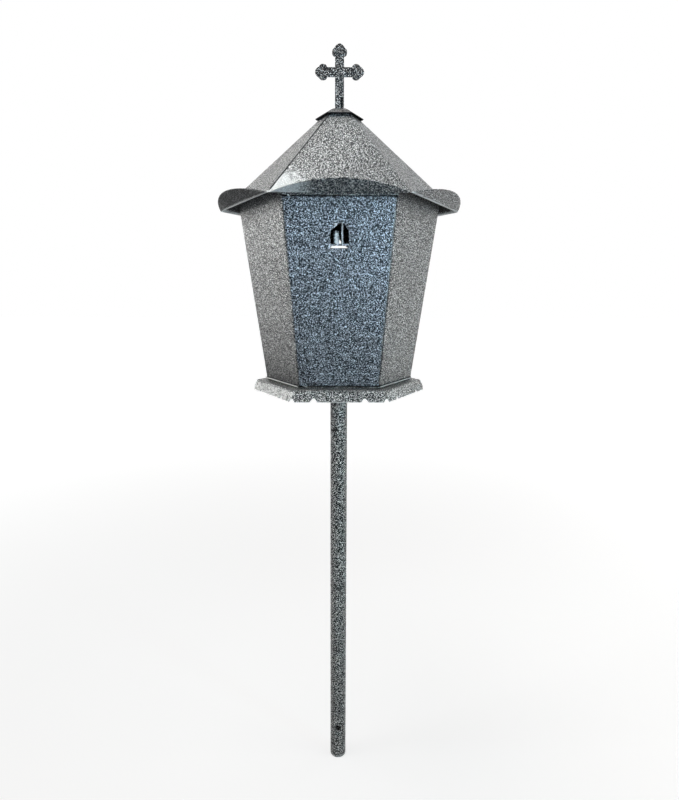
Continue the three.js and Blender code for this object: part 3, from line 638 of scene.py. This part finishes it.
def makeFootHem(look):
    # a closed band round the foot of the walls: a bead with a painted highlight between two grooves with
    # painted shade; under the door it is pressed flat to the front share of its height, with lighter painted
    # shade
    columns = hexColumns(*look["columns"])
    inside, groove, bead = -look["inside"], look["groove"], look["bead"]
    low, beadLow, beadHigh, high = look["low"], look["beadLow"], look["beadHigh"], look["high"]
    corners = [[inside, low], [groove, low], [groove, beadLow], [bead, beadLow], [bead, beadHigh],
               [groove, beadHigh], [groove, high], [inside, high]]
    across, height = filletPath(corners, look["rounding"], *look["split"]).T
    pressed = (columns["side"] == frontSide) | (columns["side"] == frontLeft) & columns["atCorner"]
    rise = height[:, None] * np.where(pressed, look["front"], 1.0)
    out = footApothem + rise * tan(lean) + across[:, None]
    points = hexPoints(columns, out, bodyFoot + rise, look["corner"])
    # painted highlight on the bead, painted shade in the grooves and, lighter, on the part under the door
    onBead = (across > bead - look["beadDeep"])[:, None] & ~pressed
    soot = look["soot"] * ~onBead * np.where(pressed, look["frontShade"], 1.0)
    return gridMesh("footHem", points, ring=True, loop=True, wear=look["beadHighlight"] * onBead, soot=soot)


header = {"under": walls["doorHigh"], "margin": 1.8, "columns": 61, "front": 0.7, "back": 9.8, "drop": 7.0,
          "bend": 1.0, "split": (5, 1.5), "least": 0.03, "growth": 1.5, "power": 0.5}


def makeHeader(look):
    # a flange over the doorway, folded down behind the right half of the door as its stop; right of the
    # middle the share folded down grows by (across / growth) ^ power
    top = look["under"] + sheet / 2
    half = panelHalf(look["under"]) - look["margin"]
    across = np.linspace(-half, half, look["columns"])
    lip = look["least"] + (1 - look["least"]) * np.clip(across / look["growth"], 0, 1) ** look["power"]
    corners = [[look["front"], top], [look["back"], top], [look["back"], top - look["drop"]]]
    deep, height = filletPath(corners, look["bend"], *look["split"]).T
    z = top - (top - height)[:, None] * lip
    return foldedSheet("doorHeader", panelPoints(across, deep[:, None], z), sheet, ring=False)


# the walls, hem and header as one piece, which keeps the walls' name
wallParts = [makeWalls(walls), makeFootHem(hem), makeHeader(header)]
choose(wallParts)
bpy.ops.object.join()
place(wallParts[0], enamelPaint, ["body_shell"])
print("walls made")

# door
door = {"low": 2.75, "high": 208.96, "edgeGap": (1.35, 0.8), "rim": 9.0, "sideBend": 1.3, "endBend": 0.9,
        "dish": 0.3, "columns": 48, "rows": 80, "sideSteps": (8, 4), "endSteps": (6, 4), "sideBendHighlight": 0.62,
        "endBendHighlight": 0.5, "hingeWear": 0.35, "topShade": 0.22, "topFade": 11.0, "footShade": 0.2,
        "footReach": 0.45, "windowLow": 156.36, "windowHalf": 10.0, "shoulder": 17.8, "apex": 27.4,
        "apexAt": 2.8, "slot": 2.4, "bar": 2.2, "mullion": 2.4, "mullionHighlight": 1.2, "tongueAt": -3.3,
        "tongueWidth": 5.4, "tongueTop": 18.0, "tongueSteps": 11, "tongueHighlight": 0.8, "windowCut": (-2, 4)}


def foldSteps(look, radius, arcCount, flangeCount):
    # lengths along a fold, through its arc and on down its flange to the rim
    arc = radius * pi / 2
    flange = np.linspace(0, look["rim"] - sheet / 2 - radius, flangeCount)
    return np.concatenate([np.linspace(0, arc, arcCount)[1:], arc + flange[1:]])


def foldOut(length, radius):
    # along a sheet that bends through a right angle: how far it still goes out, and how deep it goes in
    angle = np.clip(length / radius, 0, pi / 2)
    return radius * np.sin(angle), radius * (1 - np.cos(angle)) + np.maximum(length - radius * pi / 2, 0)


def makeDoor(look):
    # one sheet folded back at its right side, foot and head: x and y follow foldOut along the rows and
    # columns, and the face is dished by dish * (1 - u^2) * (1 - v^2); cells where two flanges would
    # meet are left out
    side, end = look["sideBend"], look["endBend"]
    sideArc, endArc = side * pi / 2, end * pi / 2
    sideLength = np.concatenate([np.zeros(look["columns"]), foldSteps(look, side, *look["sideSteps"])])
    sideShare = np.minimum(np.arange(len(sideLength)) / (look["columns"] - 1), 1)
    fold = np.concatenate([[0], foldSteps(look, end, *look["endSteps"])])
    ones, level = np.ones(len(fold)), np.zeros(look["rows"])
    rowLength = np.concatenate([fold[::-1], level, fold])
    rowShare = np.concatenate([0 * ones, np.linspace(0, 1, look["rows"]), ones])
    sign = np.concatenate([-ones, level, ones])
    sideOut, sideDeep = foldOut(sideLength, side)
    endOut, endDeep = foldOut(rowLength, end)
    lowFlat, highFlat = look["low"] + sheet / 2 + end, look["high"] - sheet / 2 - end
    z = (lowFlat + rowShare * (highFlat - lowFlat) + sign * endOut)[:, None]
    left = -panelHalf(z) + look["edgeGap"][0]
    right = panelHalf(z) - look["edgeGap"][1] - sheet / 2 - side
    x = left + sideShare * (right - left) + sideOut
    u, v = 2 * sideShare - 1, 2 * rowShare[:, None] - 1
    y = sheet / 2 + sideDeep + endDeep[:, None] + look["dish"] * (1 - u ** 2) * (1 - v ** 2)
    points = panelPoints(x, y, z)
    sideFlange = sideLength > sideArc + nearly
    endFlange = (rowLength > endArc + nearly)[:, None]
    loose = (sideFlange & (rowLength > nearly)[:, None]) | (endFlange & (sideLength > nearly))
    keep = ~(loose[:-1, :-1] | loose[1:, 1:] | loose[:-1, 1:] | loose[1:, :-1])
    wear = np.zeros(x.shape)
    # painted highlights along the right-hand and end bends
    wear[:, (sideLength > nearly) & (sideLength < sideArc)] = look["sideBendHighlight"]
    wear[(rowLength > nearly) & (rowLength < endArc)] = look["endBendHighlight"]
    wear[:, :2] = look["hingeWear"]
    # painted highlights on the window's mullion and tongue
    onMullion = fade(x, 2, look["apexAt"], 2 / look["mullion"] / look["mullionHighlight"])
    onTongue = look["tongueHighlight"] * fade(x, 2, look["tongueAt"], 2 / look["tongueWidth"])
    atWindow = (z > look["windowLow"]) & (z < look["windowLow"] + look["apex"])
    wear = np.maximum(wear, np.maximum(onMullion, onTongue) * atWindow)
    # painted shade: darker under the eave at the top and towards the foot
    paintedTopShade = look["topShade"] * np.clip((rowShare - 1) * look["topFade"] + 1, 0, 1)
    paintedFootShade = look["footShade"] * np.clip(1 - rowShare / look["footReach"], 0, 1)
    soot = np.maximum(paintedTopShade, paintedFootShade)[:, None] + 0 * x
    piece = gridMesh("doorSkin", points, keep=keep, wear=wear, soot=soot)
    thicken(piece, sheet)
    cut(piece, windowCutters(look))
    place(piece, doorShadedBluePaint, ["door_panel"], "door")


def windowCutters(look):
    # the left light runs round the tongue, the right light lies beyond the mullion, the slot below the bar
    half, low, radius = look["windowHalf"], look["windowLow"], look["tongueWidth"] / 2
    barTop = low + look["slot"] + look["bar"]
    shoulder, apex, at = low + look["shoulder"], low + look["apex"], look["apexAt"]
    before, after = at - look["mullion"] / 2, at + look["mullion"] / 2
    leftRoof = shoulder + (apex - shoulder) * (before + half) / (at + half)
    rightRoof = shoulder + (apex - shoulder) * (half - after) / (half - at)
    crown = [look["tongueAt"], low + look["tongueTop"] - radius]
    arc = crown + radius * circle(np.linspace(pi, 0, look["tongueSteps"]))
    leftLight = [[-half, barTop], [look["tongueAt"] - radius, barTop], *arc.tolist(),
                 [look["tongueAt"] + radius, barTop], [before, barTop], [before, leftRoof], [-half, shoulder]]
    rightLight = [[after, barTop], [half, barTop], [half, shoulder], [after, rightRoof]]
    slot = [[-half, low], [half, low], [half, low + look["slot"]], [-half, low + look["slot"]]]
    return [prism(outline, *look["windowCut"]) for outline in (leftLight, rightLight, slot)]


makeDoor(door)
print("door made")

# roof
roof = {"eave": (125.8, 761.4), "tip": (15.5, 871.7), "bend": 1.8, "corner": 2.2, "columns": (61, 7),
        "split": (6, 5.0), "dish": 0.45, "start": 6, "flap": 22.2, "flapAngle": 27.0, "flapRows": 8,
        "flapEnd": 1.5, "least": 0.2, "slope": (0.02, 0.97), "seamAt": 1.5, "seamHalf": 0.16,
        "seamDepth": 0.55, "rimWear": (0.35, 0.1), "frontWearAndHighlight": 0.5, "cornerWear": 0.35, "foldHighlight": 1.0,
        "foldReach": 1.2, "patch": (1.1, 90, 0.95), "soot": 0.88, "seamShade": 0.95, "seamMark": 0.45,
        "flapShade": 0.78, "flapAlong": (1.25, 0.1, 0.5), "flapAcross": (1.15, 0.5, 0.3)}


def flapLengths(look, columns):
    # how far a flap reaches out from the eave: sqrt(radius^2 - across^2) - (radius - flap), a segment of
    # a circle over its side, and only the least at the corners
    apothem = look["eave"][0]
    halfChord = apothem * tan30 - look["flapEnd"]
    radius = (halfChord ** 2 + look["flap"] ** 2) / 2 / look["flap"]
    across = np.clip(columns["along"], -1, 1) * (apothem - look["corner"]) * tan30
    length = np.sqrt(radius ** 2 - across ** 2) - (radius - look["flap"])
    onSide = (np.abs(across) < halfChord) & ~columns["atCorner"]
    return np.where(onSide, np.maximum(length, look["least"]), look["least"])


def roofMarks(look, columns, points, steps, onSlope):
    # rubbed: rims, corners and the front flap; painted highlights: the eave folds and a patch that fades away
    # from the front-left corner as high - distance / reach; painted shade, with neither wear nor highlight:
    # the front-left flap and the seam after it
    side, along = columns["side"], columns["along"]
    eave, level = look["eave"]
    high, reach, most = look["patch"]
    wear = np.zeros(points.shape[:2])
    wear[:2] = np.array(look["rimWear"])[:, None]
    wear[:len(steps), side == frontSide] = look["frontWearAndHighlight"]
    wear[:, columns["atCorner"]] = look["cornerWear"]
    # painted highlight along the eave folds
    wear[(np.abs(points[..., 2] - level) < look["foldReach"]) & (side != frontSide)] = look["foldHighlight"]
    # painted highlight: a patch that fades away from the front-left corner
    away = np.linalg.norm(points - [-eave * tan30, -eave, level], axis=-1)
    wear = np.maximum(wear, np.clip(high - away / reach, 0, most) * (side == frontSide))
    # painted shade on the front-left flap and along the seam on the hip after it
    leftFlap = (side == frontLeft) & ~columns["atCorner"]
    flapShade = look["flapShade"] * leftFlap * fade(along, *look["flapAlong"])
    flapShade = flapShade * fade(steps, *look["flapAcross"])
    seam = (side == frontLeft) & (np.abs(along - look["seamAt"]) < look["seamMark"])
    soot = np.concatenate([flapShade, look["seamShade"] * seam * onSlope[:, None]])
    wear[soot > 0] = 0
    return wear, soot


def makeRoof(look):
    # flat tip, six slopes and six flaps turned up from the eaves as one folded profile; where a flap is
    # short the eave's bend is drawn back to its middle, and the seam on a hip is pressed in
    columns = hexColumns(*look["columns"])
    eave, tip = np.array(look["eave"]), np.array(look["tip"])
    angle = radians(look["flapAngle"])
    corners = [eave + look["start"] * circle(angle), eave, tip, [0, tip[1]]]
    slope = filletPath(corners, look["bend"], *look["split"])[1:]
    length = flapLengths(look, columns)
    reach = look["bend"] * tan((pi / 4 + angle) / 2)
    middle = np.argmin(np.abs(slope[:, 0] - eave[0]))
    pull = (np.arange(len(slope)) < middle)[:, None] * (1 - np.clip(length / reach, 0, 1))
    bent = slope[:, None] + pull[..., None] * (slope[middle] - slope[:, None])
    base = hexPoints(columns, bent[..., 0], bent[..., 1], look["corner"])
    steps = np.linspace(1, 0, look["flapRows"] + 1)[:-1, None]
    flapOut = steps * np.maximum(length - reach, look["least"] / 2)
    flaps = base[0] + flapOut[..., None] * np.insert(columns["out"] * cos(angle), 2, sin(angle), axis=1)
    share = np.clip((slope[:, 0] - tip[0]) / (eave[0] - tip[0]), 0, 1)
    onSlope = (share > look["slope"][0]) & (share < look["slope"][1])
    atSeam = np.abs(columns["along"] - look["seamAt"]) < look["seamHalf"]
    seam = (columns["side"] == frontLeft) & atSeam & onSlope[:, None]
    press = dishOf(look, share, columns) + look["seamDepth"] * seam
    base = base + press[..., None] * np.insert(-columns["out"], 2, -1.0, axis=1) / sqrt(2)
    points = np.concatenate([flaps, base])
    wear, soot = roofMarks(look, columns, points, steps, onSlope)
    piece = foldedSheet("roofSkin", points, sheet, wear=wear, soot=soot)
    # painted shade wherever the roof looks down
    paintedShadeBelow(piece, look["soot"], eave[0] - 1)
    place(piece, enamelPaint, ["roof_shell"])


makeRoof(roof)
print("roof made")

# cap
cap = {"button": (11.8, 875.5), "fold": (15.5, 873.4), "rim": (25.0, 867.2), "bend": 1.2, "corner": 1.6,
       "columns": (21, 5), "split": (5, 2.0), "lip": 24.2, "frontWearAndHighlight": 0.9, "sideShade": 0.94, "soot": 0.95}


def makeCap(look):
    # button, shoulder and shallow brim as one folded profile; the front panel gets a painted highlight, the
    # other panels and the whole lip get painted shade
    columns = hexColumns(*look["columns"])
    corners = [look["rim"], look["fold"], look["button"], [0, look["button"][1]]]
    apothem, height = filletPath(corners, look["bend"], *look["split"]).T
    points = hexPoints(columns, apothem[:, None], height[:, None], look["corner"])
    front = (columns["side"] == frontSide) & ~columns["atCorner"]
    shadedPanels = (apothem > look["button"][0])[:, None] & ~front | (apothem > look["lip"])[:, None]
    # painted highlight on the front panel, painted shade on the other panels and the lip
    wear, soot = look["frontWearAndHighlight"] * (front & ~shadedPanels), look["sideShade"] * shadedPanels
    piece = foldedSheet("capSkin", points, sheet, wear=wear, soot=soot)
    # painted shade wherever the cap looks down
    paintedShadeBelow(piece, look["soot"], look["rim"][0] + 1)
    place(piece, darkPaint, ["roof_cap"])


makeCap(cap)
print("cap made")

# cross
cross = {"foot": 876.3, "top": 950.0, "arm": 919.2, "reach": 29.0, "bar": 10.6, "bud": 14.2, "budHalf": 8.8,
         "belly": 0.36, "neckRise": 0.4, "turn": 2.6, "rise": 4.2, "tipPull": 0.36, "steps": (7, 6, 8),
         "thick": 2.0, "edge": 0.45, "edgeSteps": 3, "slit": (1.3, 3.9), "slitHigh": 892.3, "faceReach": 0.02,
         "edgeWear": 0.55, "faceWear": 0.1}


def crossOutline(look):
    # the shaft and arms with three budded ends; each bud is three quadratic curves and their mirror
    neck, wide, tall, turn = look["bar"] / 2, look["budHalf"], look["bud"], look["turn"]
    belly = tall * look["belly"]
    pulls = [[wide, look["neckRise"]], [wide, belly + turn], [wide * look["tipPull"], tall]]
    ends = [[wide, belly], [wide - turn, belly + look["rise"]], [0, tall]]
    half = [np.array([[neck, 0]])]
    for pull, end, steps in zip(pulls, ends, look["steps"]):
        half.append(bezier(half[-1][-1], pull, end, steps))
    half = np.concatenate(half)
    bud = np.concatenate([half, half[-2::-1] * [-1, 1]])
    upper = bud + [0, look["top"] - tall]
    right = np.stack([look["reach"] - tall + bud[:, 1], look["arm"] - bud[:, 0]], -1)
    left = right[::-1] * [-1, 1]
    foot, slitHigh = look["foot"], look["slitHigh"]
    near, far = look["slit"]
    low, high = look["arm"] - neck, look["arm"] + neck
    slit = [[near, foot], [near, slitHigh], [far, slitHigh], [far, foot]]
    shaft = [[-neck, foot], *slit, [neck, foot], [neck, low]]
    return np.concatenate([shaft, right, [[neck, high]], upper, [[-neck, high]], left, [[-neck, low]]])


def makeCross(look):
    # the outline filled, then given a rounded edge and its thickness by the curve's own bevel
    outline = crossOutline(look) / perMetre
    data = bpy.data.curves.new("crossPlate", "CURVE")
    data.dimensions = "2D"
    data.fill_mode = "BOTH"
    data.extrude = (look["thick"] / 2 - look["edge"]) / perMetre
    data.bevel_depth = look["edge"] / perMetre
    data.bevel_resolution = look["edgeSteps"]
    data.offset = -look["edge"] / perMetre
    line = data.splines.new("POLY")
    line.points.add(len(outline) - 1)
    line.points.foreach_set("co", np.insert(outline, [2, 2], [0, 1], axis=1).reshape(-1))
    line.use_cyclic_u = True
    shape = newPiece("crossShape", data)
    graph = bpy.context.evaluated_depsgraph_get()
    mesh = bpy.data.meshes.new_from_object(shape.evaluated_get(graph))
    bpy.data.objects.remove(shape)
    mesh.transform(Matrix.Rotation(radians(90), 4, "X"))
    piece = newPiece("crossPlate", mesh)
    refresh(piece)
    onEdge = np.abs(readPoints(piece.data)[:, 1]) < look["thick"] / 2 - look["faceReach"]
    writeMark(piece.data, "wear", np.where(onEdge, look["edgeWear"], look["faceWear"]))
    place(piece, darkPaint, ["cross"], sharp=40)


makeCross(cross)

# bracket
bracket = {"foot": 876.3, "thick": 1.5, "half": 4.8, "high": 17.5, "reach": 11.5, "front": 1.3, "bend": 1.2,
           "split": (6, 1.5), "columns": 15, "drop": 1.4, "dropPower": 8, "topPower": 6, "soot": 0.95}


def makeBracket(look):
    # an angle plate: its upright stands behind the cross and its foot lies on the cap; its top corners
    # drop by drop * (across / half)^8 * (share of the way up)^6
    middle = look["thick"] / 2
    back, low = look["front"] + middle, look["foot"] + middle
    corners = [[back, look["foot"] + look["high"]], [back, low], [look["front"] + look["reach"], low]]
    deep, height = filletPath(corners, look["bend"], *look["split"]).T
    across = np.linspace(-look["half"], look["half"], look["columns"])
    rounding = look["drop"] * (np.abs(across) / look["half"]) ** look["dropPower"]
    share = np.linspace(1, 0, len(height))[:, None] ** look["topPower"]
    z = height[:, None] - share * rounding
    points = np.stack([across + 0 * z, deep[:, None] + 0 * z, z], -1)
    # painted shade over the whole plate, so that the slit in the cross shows dark
    piece = gridMesh("bracketPlate", points[:, ::-1], soot=look["soot"] + 0 * z)
    thicken(piece, look["thick"])
    place(piece, darkPaint, ["cross_bracket"])


makeBracket(bracket)
print("cross and bracket made")

# pole
pole = {"radius": 11.0, "wall": 1.5, "top": 548.9, "rounding": 0.4, "split": (4, 9.0), "join": 1, "sides": 96,
        "hole": 4.5, "holeAt": 48.5, "holeSides": 40, "holeCut": (-20, 40),
        "footWear": (3, 0.75), "lowWear": (90, 0.22), "wear": 0.08}


def makePole(look):
    # the tube's closed wall section turned round the axis, with a cross hole drilled from front to back
    outer, inner, top = look["radius"], look["radius"] - look["wall"], look["top"]
    end = [inner, top / 2 + look["join"]]
    corners = [[inner, top / 2], [inner, 0], [outer, 0], [outer, top], [inner, top], end]
    section = filletPath(corners, look["rounding"], *look["split"])
    angle = fullTurn(look["sides"])
    radius, height = section[:, :1], section[:, 1:] + 0 * angle
    points = np.stack([radius * np.cos(angle), radius * np.sin(angle), height], -1)
    (footHigh, footWear), (lowHigh, lowWear) = look["footWear"], look["lowWear"]
    wear = np.where(height < footHigh, footWear, np.where(height < lowHigh, lowWear, look["wear"]))
    piece = gridMesh("poleSkin", points, ring=True, loop=True, wear=wear)
    hole = look["hole"] * circle(fullTurn(look["holeSides"])) + [0, look["holeAt"]]
    cut(piece, [drill(hole, *look["holeCut"])])
    place(piece, poleShadedPaint, ["pole_tube"])


makePole(pole)
print("pole made")

# carried-over nodes
finishes = {"hammered_steel": enamelPaint, "dark_hammered_steel": darkPaint, "zinc_steel": zincPlate,
            "spring_steel": springSteel}
for part in frame["record"]["subparts"]:
    for slot in frame["nodes"][part["node"]].material_slots:
        slot.material = finishes[part["material_slot"]]
print("fasteners dressed")

# floor, world and lamps
floor = {"size": 40000.0, "below": 0.2, "colour": (0.38, 0.38, 0.38, 1), "glow": (0.74, 0.93),
         "reach": (0.5, 2.2)}


def backdropRay(tree):
    # 1 for the camera's, glossy and transmission rays
    rays = tree.nodes.new("ShaderNodeLightPath")
    shiny = mathNode(tree, "MAXIMUM", rays.outputs["Is Glossy Ray"], rays.outputs["Is Transmission Ray"])
    return mathNode(tree, "MAXIMUM", rays.outputs["Is Camera Ray"], shiny)


def makeFloor(look):
    # a wide plane under the pole; what is seen of it is lifted to white, less so near the object, where
    # its shadow stays
    half, level = look["size"] / 2, -look["below"]
    corners = [[[x, y, level] for x in (-half, half)] for y in (-half, half)]
    piece = gridMesh("floor", np.array(corners))
    material, tree, spot = newMaterial("pale floor")
    distance = tree.nodes.new("ShaderNodeVectorMath")
    distance.operation = "LENGTH"
    feed(tree, distance.inputs, {0: spot})
    strength = between(tree, ramp(tree, distance.outputs["Value"], *look["reach"]), *look["glow"])
    plain = tree.nodes.new("ShaderNodeBsdfDiffuse")
    feed(tree, plain.inputs, {"Color": look["colour"]})
    glow = tree.nodes.new("ShaderNodeEmission")
    feed(tree, glow.inputs, {"Strength": mathNode(tree, "MULTIPLY", backdropRay(tree), strength)})
    both = tree.nodes.new("ShaderNodeAddShader")
    feed(tree, both.inputs, {0: plain.outputs[0], 1: glow.outputs[0]})
    feed(tree, tree.nodes["Material Output"].inputs, {"Surface": both.outputs[0]})
    tree.nodes.remove(tree.nodes["Principled BSDF"])
    piece.data.materials.append(material)


world = {"colour": (1, 1, 1, 1), "light": 0.22, "seen": 1.0}


def makeWorld(look):
    # white where a camera, glossy or transmission ray meets it, softer where it lights the object
    scene = bpy.context.scene
    scene.world = bpy.data.worlds.new("studio")
    scene.world.use_nodes = True
    tree = scene.world.node_tree
    strength = between(tree, backdropRay(tree), look["light"], look["seen"])
    feed(tree, tree.nodes["Background"].inputs, {"Color": look["colour"], "Strength": strength})
    scene.view_settings.view_transform = "Standard"


lamps = {
    "overhead": {"place": (-0.34, -0.02, 2.0), "aim": (0, 0, 0.8), "size": (0.7, 0.7), "spread": 180,
                 "power": 8.6, "colour": (1.0, 0.99, 0.96)},
    "left": {"place": (-1.3, -0.3, 1.35), "aim": (-0.1, -0.05, 0.76), "size": (0.5, 0.5), "spread": 40,
             "power": 1.1, "colour": (1.0, 1.0, 0.97)},
    "right": {"place": (1.5, -0.35, 1.0), "aim": (0, 0, 0.65), "size": (0.7, 0.7), "spread": 180,
              "power": 4.4, "colour": (1.0, 1.0, 0.96)},
    "leftWall": {"place": (-1.5, 0.87, 1.0), "aim": (0, 0, 0.94), "size": (0.8, 0.5), "spread": 36,
                 "power": 0.30, "colour": (1.0, 1.0, 0.98)},
    "rightWall": {"place": (1.5, 0.87, 0.62), "aim": (0, 0, 0.6), "size": (1.0, 1.1), "spread": 180,
                  "power": 2.5, "colour": (1.0, 1.0, 0.97)},
    "front": {"place": (0.45, -1.5, 0.62), "aim": (0.02, 0, 0.95), "size": (0.4, 0.4), "spread": 34,
              "power": 0.9, "colour": (0.60, 0.84, 1.0)},
    "low": {"place": (1.15, -0.9, 0.35), "aim": (0, 0, 0.3), "size": (0.2, 0.5), "spread": 26,
            "power": 0.4, "colour": (0.62, 0.93, 1.0)},
}


def makeLamp(name, look):
    # a flat lamp that looks from its place towards its aim and isn't seen itself
    data = bpy.data.lights.new(name, "AREA")
    data.shape = "RECTANGLE"
    data.size, data.size_y = look["size"]
    data.spread = radians(look["spread"])
    data.energy = look["power"]
    data.color = look["colour"]
    lamp = newPiece(name, data)
    spot = Vector(look["place"])
    turn = (spot - Vector(look["aim"])).to_track_quat("Z", "Y").to_matrix().to_4x4()
    lamp.matrix_world = Matrix.Translation(spot) @ turn
    lamp.visible_camera = False


makeFloor(floor)
makeWorld(world)
for lamp in lamps.items():
    makeLamp(*lamp)
print("studio lit")
